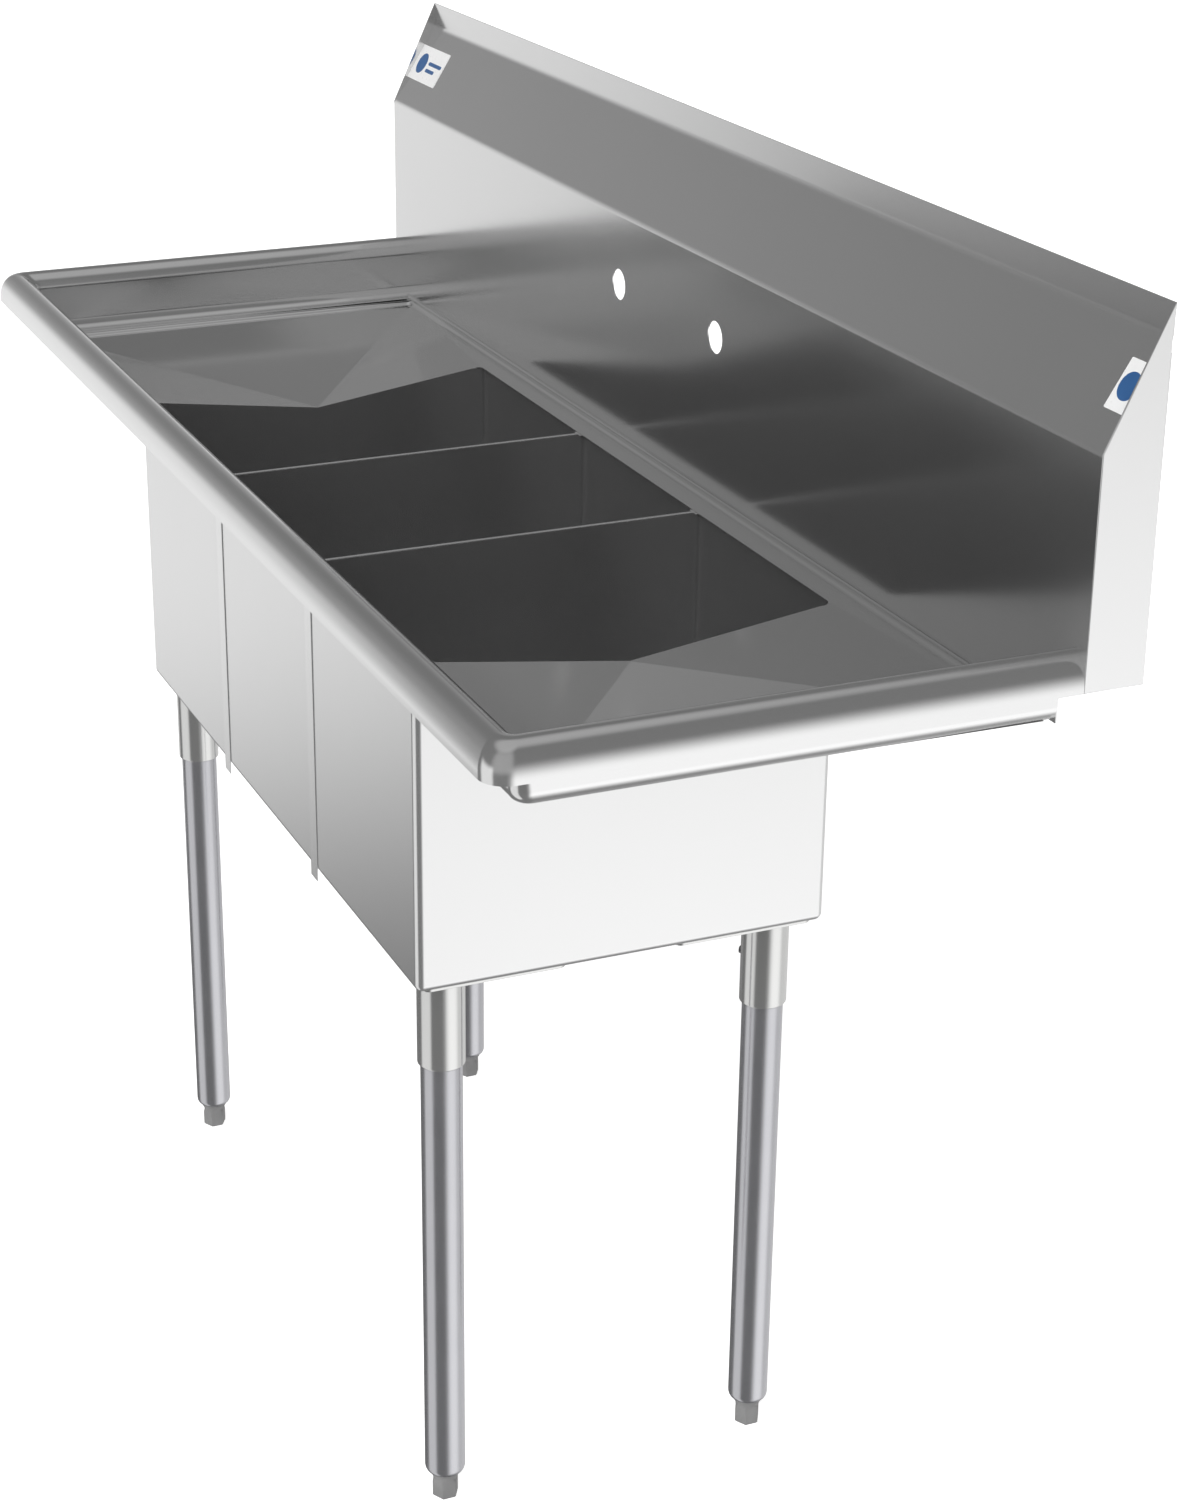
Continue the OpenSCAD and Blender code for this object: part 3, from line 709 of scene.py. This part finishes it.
def make_divider_cap(side, name):
    """A rounded bead over the joint of two bowls, with a wider foot at each end."""
    bm = bmesh.new()
    x = side * BOWL_WIDTH / 2
    low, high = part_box("divider_cap_" + name)
    half, foot, length = 0.0015, 0.0062, 0.0024
    y0, y1 = MID_Y - OPENING_HALF, MID_Y + OPENING_HALF
    block(bm, (x - half, y0, low.z), (x + half, y1, high.z), 0.0013, 5)
    for near, far in ((y0, y0 + length), (y1 - length, y1)):
        block(bm, (x - foot, near, low.z), (x + foot, far, high.z - 0.0002), 0.0008, 3)
    finish_piece("divider_bar_" + name, bm, TRIM_STEEL, ["divider_cap_" + name])


# ---------------------------------------------------------------- legs and feet
def leg_centre(corner):
    """The leg's axis, on the floor."""
    low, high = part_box("leg_tube_" + corner)
    return Vector(((low.x + high.x) / 2, (low.y + high.y) / 2, 0))


def make_plate(corner):
    """The plate under a bowl that carries a leg."""
    low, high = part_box("leg_plate_" + corner)
    bm = bmesh.new()
    block(bm, low, high)
    upright = [e for e in bm.edges if abs(e.verts[0].co.z - e.verts[1].co.z) > 0.001]
    bevel_edges(bm, upright, PLATE_CORNER, 5)
    under = [e for e in bm.edges if abs(e.verts[0].co.z - e.verts[1].co.z) < 1e-6
             and min(v.co.z for v in e.verts) < low.z + 1e-6]
    bevel_edges(bm, under, 0.0006, 2)
    finish_piece("leg_plate_sheet_" + corner, bm, SOCKET_STEEL, ["leg_plate_" + corner])


def make_socket(corner, centre, plate_z):
    """Sleeve with a rounded lower end and a weld bead under the plate."""
    base = plate_z - SOCKET_LENGTH
    bm = bmesh.new()
    lathe(bm, [(SOCKET_BORE, base), (SOCKET_R - 0.0009, base), (SOCKET_R - 0.0004, base + 0.0002),
               (SOCKET_R - 0.0001, base + 0.0006), (SOCKET_R, base + 0.0012),
               (SOCKET_R, plate_z - 0.004), (SOCKET_R + 0.0006, plate_z - 0.0022),
               (SOCKET_R + 0.0016, plate_z - 0.0008), (SOCKET_R + 0.0032, plate_z),
               (SOCKET_BORE, plate_z), (SOCKET_BORE, base)], centre)
    finish_piece("leg_socket_sleeve_" + corner, bm, SOCKET_STEEL, ["leg_socket_" + corner])


def make_tube(corner, centre, plate_z):
    """Tube, drawn in round its lower end."""
    profile = [(TUBE_NOSE_BORE, TUBE_END + 0.0005), (TUBE_NOSE_BORE + 0.0006, TUBE_END),
               (TUBE_NOSE_R, TUBE_END)]
    for angle in arc_angles(6, 1):
        profile.append((TUBE_NOSE_R + (TUBE_R - TUBE_NOSE_R) * math.sin(angle),
                        TUBE_END + TUBE_NOSE * (1 - math.cos(angle))))
    top = plate_z - 0.004
    profile += [(TUBE_R, 0.05), (TUBE_R, top), (TUBE_BORE, top), (TUBE_BORE, TUBE_END + 0.007),
                (TUBE_NOSE_BORE, TUBE_END + 0.003), (TUBE_NOSE_BORE, TUBE_END + 0.0005)]
    bm = bmesh.new()
    lathe(bm, profile, centre)
    finish_piece("leg_tube_pipe_" + corner, bm, ZINC, ["leg_tube_" + corner])


def make_insert(corner, centre):
    """The threaded plug in the tube's end that the foot screws into."""
    low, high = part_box("foot_insert_" + corner)
    edge = 0.0008
    bm = bmesh.new()
    lathe(bm, [(INSERT_BORE, low.z), (0.0152, low.z), (INSERT_R, low.z + edge),
               (INSERT_R, high.z - edge), (0.0152, high.z), (INSERT_BORE, high.z),
               (INSERT_BORE, low.z)], centre)
    finish_piece("foot_insert_plug_" + corner, bm, INSERT_PLASTIC, ["foot_insert_" + corner])


def make_leg(corner):
    """Plate, socket, tube and foot insert of one leg."""
    centre = leg_centre(corner)
    plate_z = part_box("leg_plate_" + corner)[0].z
    make_plate(corner)
    make_socket(corner, centre, plate_z)
    make_tube(corner, centre, plate_z)
    make_insert(corner, centre)


def make_foot(corner):
    """Bullet foot: hexagon with a bevelled sole, flared collar and threaded stud."""
    centre = leg_centre(corner)
    bm = bmesh.new()
    hexagon = ((0.0094, 0.0), (0.0106, 0.0006), (0.0118, 0.0020), (0.0118, 0.0165))
    loops = []
    for radius, z in hexagon:
        known = set(bm.edges)
        made = bmesh.ops.create_circle(bm, cap_ends=False, segments=6, radius=radius,
                                       matrix=Matrix.Translation(centre + Vector((0, 0, z))))
        bmesh.ops.subdivide_edges(bm, edges=edges_of(made["verts"]), cuts=7)
        loops.append([e for e in bm.edges if e not in known])
    rounds = ((0.0106, 0.0190), (0.0109, 0.0205), (0.0116, 0.0222), (0.0125, 0.0236),
              (0.0130, 0.0246), (0.0130, 0.0268), (0.0126, 0.0270))
    for radius, z in rounds:
        made = bmesh.ops.create_circle(bm, cap_ends=False, segments=48, radius=radius,
                                       matrix=Matrix.Translation(centre + Vector((0, 0, z))))
        loops.append(edges_of(made["verts"]))
    bridge(bm, loops)
    bmesh.ops.edgeloop_fill(bm, edges=loops[0])
    bmesh.ops.edgeloop_fill(bm, edges=loops[-1])
    stud = [(0.0, 0.0265), (0.0055, 0.0265)]
    z = 0.0272
    while z + STUD_PITCH < STUD_TOP:
        stud += [(STUD_ROOT, z), (STUD_CREST, z + STUD_PITCH / 2)]
        z += STUD_PITCH
    stud += [(STUD_ROOT, STUD_TOP - 0.0008), (0.0044, STUD_TOP), (0.0, STUD_TOP)]
    lathe(bm, stud, centre, 24)
    finish_piece("foot_bullet_" + corner, bm, FOOT_PLASTIC, ["foot_" + corner],
                 body="foot_" + corner, limit=math.radians(40))


def make_set_screws():
    """Two grub screws in each socket, on the side that faces the middle of the sink."""
    bm = bmesh.new()
    for corner in CORNERS:
        centre = leg_centre(corner)
        inward = Vector((-math.copysign(1, centre.x), -math.copysign(1, centre.y), 0)).normalized()
        plate_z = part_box("leg_plate_" + corner)[0].z
        for drop in SCREW_DROPS:
            start = centre + Vector((0, 0, plate_z - drop))
            profile = [(0.0, 0.0178), (0.0034, 0.0178), (0.0034, SCREW_REACH - 0.0006),
                       (0.0029, SCREW_REACH), (0.0017, SCREW_REACH),
                       (0.0015, SCREW_REACH - 0.0016), (0.0, SCREW_REACH - 0.0018)]
            turned_rod(bm, start, inward, profile)
    finish_piece("set_screw_grubs", bm, SCREW_STEEL, ["set_screws"])


# ---------------------------------------------------------------- drains
def ribbed(outer, low, high, pitch=0.0016, depth=0.0005):
    """Profile of a thread as plain ridges, from low to high."""
    line = []
    z = low
    while z + pitch <= high + 1e-9:
        line += [(outer - depth, z), (outer, z + pitch / 2)]
        z += pitch
    return line + [(outer - depth, high)]


def make_drain_cup(centre, name):
    """Flange, cup and outlet in one, with a crossed strainer in the outlet."""
    inside = 0.002 - CUP_END
    profile = [(OUTLET_BORE, -OUTLET_END), (0.0236, -OUTLET_END)]
    profile += ribbed(OUTLET_R, 0.0005 - OUTLET_END, -CUP_END - 0.0015)
    profile += [(OUTLET_R, -CUP_END), (CUP_R - 0.0015, -CUP_END), (CUP_R, 0.0015 - CUP_END)]
    profile += ribbed(CUP_R, 0.003 - CUP_END, -0.0015)
    profile += [(CUP_R, -0.0002), (0.0560, 0.0001), (0.0570, 0.0006), (0.0570, 0.0010),
                (0.0562, 0.0017), (0.0540, 0.0020), (0.0425, 0.0020), (0.0408, 0.0016),
                (CUP_BORE, 0.0004), (CUP_BORE, inside + 0.0015),
                (CUP_BORE - 0.0006, inside + 0.0004), (CUP_BORE - 0.0020, inside),
                (0.0232, inside), (0.0220, inside - 0.0006), (OUTLET_BORE, -CUP_END),
                (OUTLET_BORE, -OUTLET_END)]
    bm = bmesh.new()
    lathe(bm, profile, centre, 72)
    for turn in (0, math.pi / 2):
        before = set(bm.verts)
        block(bm, (-0.0220, -0.002, -CUP_END), (0.0220, 0.002, inside), 0.0005)
        place_at = Matrix.Translation(centre) @ Matrix.Rotation(turn, 4, "Z")
        bmesh.ops.transform(bm, matrix=place_at, verts=new_verts(bm, before))
    finish_piece("drain_cup_" + name, bm, CHROME, ["drain_body_" + name])


def make_drain_rings(centre, name):
    """Gasket and fibre washer under the bowl."""
    gasket_low = -SHEET - GASKET_THICKNESS
    washer_low = gasket_low - WASHER_THICKNESS
    inner, outer = CUP_R + 0.0005, CUP_R + RING_WIDTH
    rings = (("gasket", gasket_low, -SHEET, RUBBER, "drain_rubber", 0.0008),
             ("washer", washer_low, gasket_low, FIBRE, "fibre_washer", 0.0002))
    for kind, low, high, material, slot, soft in rings:
        bm = bmesh.new()
        lathe(bm, [(inner, low), (outer - soft, low), (outer, low + soft), (outer, high - soft),
                   (outer - soft, high), (inner, high), (inner, low)], centre, 72)
        finish_piece("drain_" + kind + "_ring_" + name, bm, material,
                     ["drain_" + kind + "_" + name])


def make_locknut(centre, name):
    """A ring with lugs round it, screwed up against the washer."""
    high = -SHEET - GASKET_THICKNESS - WASHER_THICKNESS
    low = high - NUT_HEIGHT
    bm = bmesh.new()
    lathe(bm, [(CUP_R + 0.0001, low + 0.0006), (CUP_R + 0.0007, low), (CUP_R + 0.0080, low),
               (CUP_R + 0.0090, low + 0.001), (CUP_R + 0.0090, high), (CUP_R + 0.0001, high),
               (CUP_R + 0.0001, low + 0.0006)], centre, 72)
    for number in range(NUT_LUGS):
        before = set(bm.verts)
        block(bm, (CUP_R + 0.0080, -0.004, low), (CUP_R + 0.0130, 0.004, high - 0.002), 0.0008)
        turn = Matrix.Rotation(2 * math.pi * number / NUT_LUGS, 4, "Z")
        bmesh.ops.transform(bm, matrix=Matrix.Translation(centre) @ turn,
                            verts=new_verts(bm, before))
    finish_piece("drain_locknut_ring_" + name, bm, BRASS, ["drain_locknut_" + name])


def make_drain(place, name):
    """Everything that stays fixed in one bowl's drain hole."""
    centre = Vector((place * BOWL_WIDTH, MID_Y, BOWL_BOTTOM + SHEET))
    make_drain_cup(centre, name)
    make_drain_rings(centre, name)
    make_locknut(centre, name)


def make_basket(place, name):
    """Perforated strainer basket with a post and a lifting knob, over its rubber stopper."""
    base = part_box("strainer_basket_" + name)[0].z
    centre = Vector((place * BOWL_WIDTH, MID_Y, base))
    body = "basket_" + name
    bm = bmesh.new()
    shell = [(0.0, 0.0), (0.0335, 0.0), (0.0362, 0.0010), (0.0370, 0.0030), (0.0370, 0.0262),
             (0.0374, 0.0268), (0.0388, 0.0270), (0.0390, 0.0275), (0.0388, 0.0280),
             (0.0372, 0.0280), (0.0360, 0.0274), (0.0358, 0.0262), (0.0358, 0.0034),
             (0.0352, 0.0020), (0.0332, 0.0012), (0.0, 0.0012)]
    lathe(bm, shell, centre, 72)
    basket = finish_piece("basket_shell_" + name, bm, CHROME, ["strainer_basket_" + name],
                          body=body)
    # rings of holes in the bottom, then staggered rows in the wall
    cutters = []
    reach, wall_r, row_count = 0.006, 0.0364, 20
    for ring, count in ((0.026, 16), (0.0165, 10)):
        for number in range(count):
            angle = 2 * math.pi * number / count
            spot = centre + Vector((ring * math.cos(angle), ring * math.sin(angle), 0.0005))
            cutters.append(cutter_rod(spot, (0, 0, 1), 0.0026, reach, 16))
    for level, offset in ((0.0085, 0.0), (0.0155, 0.5), (0.0225, 0.0)):
        for number in range(row_count):
            angle = 2 * math.pi * (number + offset) / row_count
            out = Vector((math.cos(angle), math.sin(angle), 0))
            spot = centre + out * wall_r + Vector((0, 0, level))
            cutters.append(cutter_rod(spot, out, 0.0024, reach, 14))
    drill_together(basket, cutters)
    # post and knob
    bm = bmesh.new()
    lathe(bm, [(0.0, 0.0008), (0.0046, 0.0012), (0.0042, 0.0030), (0.0030, 0.0042),
               (0.0030, 0.0345), (0.0050, 0.0360), (0.0086, 0.0392), (0.0097, 0.0402),
               (0.0100, 0.0412), (0.0100, 0.0420), (0.0094, 0.0427), (0.0080, 0.0430),
               (0.0, 0.0430)], centre, 48)
    finish_piece("basket_post_" + name, bm, CHROME, [], body=body)
    low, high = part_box("basket_stopper_" + name)
    bm = bmesh.new()
    rim = high.x - centre.x
    lathe(bm, [(0.0, low.z), (rim - 0.0022, low.z), (rim - 0.0006, low.z + 0.0008),
               (rim, low.z + 0.0020), (rim - 0.0004, high.z - 0.0006), (rim - 0.0014, high.z),
               (0.0, high.z)], (centre.x, centre.y, 0), 48)
    finish_piece("basket_stopper_disc_" + name, bm, RUBBER, ["basket_stopper_" + name],
                 body=body)


def drill_together(piece, cutters):
    """Drills many holes at once by joining the rods into one cutter first."""
    bm = bmesh.new()
    for cutter in cutters:
        bm.from_mesh(cutter.data)
        bpy.data.objects.remove(cutter)
    drill(piece, [new_object("cutter", bm)])


# ---------------------------------------------------------------- labels
def make_label(name, shapes):
    """A thin white plate on the slope with printed shapes, each (across, along, width, height)."""
    low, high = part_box("label_" + name)
    lean = math.atan2(BACK - SPLASH_Y, FLANGE - BEND)
    slope_length = math.hypot(BACK - SPLASH_Y, FLANGE - BEND)
    along = Vector((0, math.sin(lean), math.cos(lean)))
    out = Vector((0, -math.cos(lean), math.sin(lean)))
    foot = (slope_length - LABEL_HEIGHT) / 2 + LABEL_RISE
    to_slope = Matrix((
        (1, out.x, along.x, low.x),
        (0, out.y, along.y, SPLASH_Y),
        (0, out.z, along.z, BEND),
        (0, 0, 0, 1)))
    bm = bmesh.new()
    block(bm, (0, 0, foot), (high.x - low.x, 0.00035, foot + LABEL_HEIGHT))
    corners = [e for e in bm.edges if abs(e.verts[0].co.y - e.verts[1].co.y) > 1e-5]
    bevel_edges(bm, corners, 0.001, 3)
    plate = set(bm.verts)
    for x, z, width, height in shapes:
        before = set(bm.verts)
        block(bm, (x, 0.0003, foot + z), (x + width, 0.0004, foot + z + height))
        corners = [e for e in edges_of(new_verts(bm, before))
                   if abs(e.verts[0].co.y - e.verts[1].co.y) > 1e-5]
        bevel_edges(bm, corners, min(width, height) * 0.49, 12)
    for face in bm.faces:
        if not any(v in plate for v in face.verts):
            face.material_index = 1
    bmesh.ops.transform(bm, matrix=to_slope, verts=bm.verts[:])
    finish_piece("label_plate_" + name, bm, LABEL_FILM, ["label_" + name],
                 extra=(LABEL_INK,))


make_deck()
make_backsplash()
for side, name in ((-1, "left"), (1, "right")):
    make_end_cap(side, name)
    make_cover_strip(side, name)
    make_divider_cap(side, name)
for place, name in ((-1, "left"), (0, "centre"), (1, "right")):
    make_bowl(place, name)
    make_drain(place, name)
    make_basket(place, name)
for corner in CORNERS:
    make_leg(corner)
    make_foot(corner)
make_set_screws()
make_label("left", [(0.008, 0.008, 0.023, 0.023), (0.036, 0.020, 0.036, 0.004),
                    (0.036, 0.012, 0.024, 0.004)])
make_label("right", [(0.0025, 0.0085, 0.022, 0.022)])


# ---------------------------------------------------------------- floor, light and camera
def make_floor():
    """Plain pale floor, out of the steel's reflections."""
    bm = bmesh.new()
    bmesh.ops.create_grid(bm, x_segments=1, y_segments=1, size=12)
    floor = new_object("studio_floor", bm)
    pale = start_material("studio_white", {
        "Roughness": 0.9, "Emission Strength": 0.80, "Emission Color": (1, 1, 1, 1),
        "Base Color": (*grey(0.86), 1)})[0]
    floor.data.materials.append(pale)
    floor.visible_glossy = False


# Soft panels of light round the sink, in degrees: azimuth of the middle, half width and softness,
# lower edge and softness, upper edge and softness, then the strength
PANELS = (
    (72, 68, 50, -65, 50, -8, 50, 0.65),
    (32, 24, 30, -65, 50, -8, 50, 0.50),
    (172, 35, 12, -24, 9, 3, 14, 0.48),
    (168, 40, 20, -24, 9, 14, 36, 0.30),
    (262, 27, 16, -75, 10, 6, 16, 0.72),
    (325, 40, 30, -5, 20, 60, 30, 0.20),
    (0, 180, 0, 60, 20, 90, 0, 0.26),
)
BASE_LIGHT = 0.17


def window(n, value, low, high):
    """Smooth step of value from low to high, which may run downwards."""
    if low < high:
        return n.ranged(value, low, high, 0.0, 1.0, smooth=True)
    return n.ranged(value, high, low, 1.0, 0.0, smooth=True)


def sine(degrees):
    return math.sin(math.radians(degrees))


def cosine(degrees):
    return math.cos(math.radians(degrees))


def make_world():
    """Soft panels of light for the steel to mirror; the camera sees plain white."""
    world = bpy.data.worlds.new("studio_light")
    bpy.context.scene.world = world
    world.use_nodes = True
    tree = world.node_tree
    tree.nodes.clear()
    n = Nodes(tree)
    where = n.add("ShaderNodeTexCoord").outputs["Generated"]
    way = n.add("ShaderNodeVectorMath", {0: where}, operation="NORMALIZE").outputs[0]
    rise = n.add("ShaderNodeSeparateXYZ", {0: way}).outputs["Z"]
    level = n.add("ShaderNodeVectorMath", {0: way, 1: (1, 1, 0)}, operation="MULTIPLY").outputs[0]
    level = n.add("ShaderNodeVectorMath", {0: level}, operation="NORMALIZE").outputs[0]
    total = BASE_LIGHT
    for azimuth, half, side_soft, low, low_soft, high, high_soft, strength in PANELS:
        lit = strength
        if half < 180:
            facing = n.add("ShaderNodeVectorMath",
                           {0: level, 1: (cosine(azimuth), sine(azimuth), 0)},
                           operation="DOT_PRODUCT").outputs["Value"]
            lit = n.math("MULTIPLY", lit, window(n, facing, cosine(half + side_soft / 2),
                                                 cosine(half - side_soft / 2)))
        if low > -90:
            lit = n.math("MULTIPLY", lit, window(n, rise, sine(low - low_soft / 2),
                                                 sine(low + low_soft / 2)))
        if high < 90:
            lit = n.math("MULTIPLY", lit, window(n, rise, sine(high + high_soft / 2),
                                                 sine(high - high_soft / 2)))
        total = n.math("ADD", lit, total)
    seen = n.add("ShaderNodeLightPath").outputs["Is Camera Ray"]
    studio = n.add("ShaderNodeBackground", {"Color": (1, 1, 1, 1), "Strength": total})
    plain = n.add("ShaderNodeBackground", {"Color": (1, 1, 1, 1), "Strength": 1.0})
    mixed = n.add("ShaderNodeMixShader", {0: seen, 1: studio.outputs[0], 2: plain.outputs[0]})
    out = n.add("ShaderNodeOutputWorld")
    tree.links.new(mixed.outputs[0], out.inputs["Surface"])


def make_sun():
    """Soft light for the plain-coloured parts; the steel does not mirror it."""
    data = bpy.data.lights.new("soft_sun", "SUN")
    data.energy = 2.2
    data.angle = math.radians(50)
    sun = bpy.data.objects.new("soft_sun", data)
    bpy.context.scene.collection.objects.link(sun)
    sun.rotation_euler = (math.radians(50), 0.0, math.radians(40))
    sun.visible_glossy = False


def make_camera():
    data = bpy.data.cameras.new("camera")
    camera = bpy.data.objects.new("camera", data)
    bpy.context.scene.collection.objects.link(camera)
    camera.location = (2.3442, -0.9016, 1.6027)
    camera.rotation_euler = (math.radians(67.18), math.radians(0.22), math.radians(68.56))
    data.lens = 71.05
    data.shift_x = 0.0788
    data.clip_start = 0.05
    data.clip_end = 60
    bpy.context.scene.camera = camera


make_floor()
make_world()
make_sun()
make_camera()
bpy.context.scene.view_settings.view_transform = "Standard"
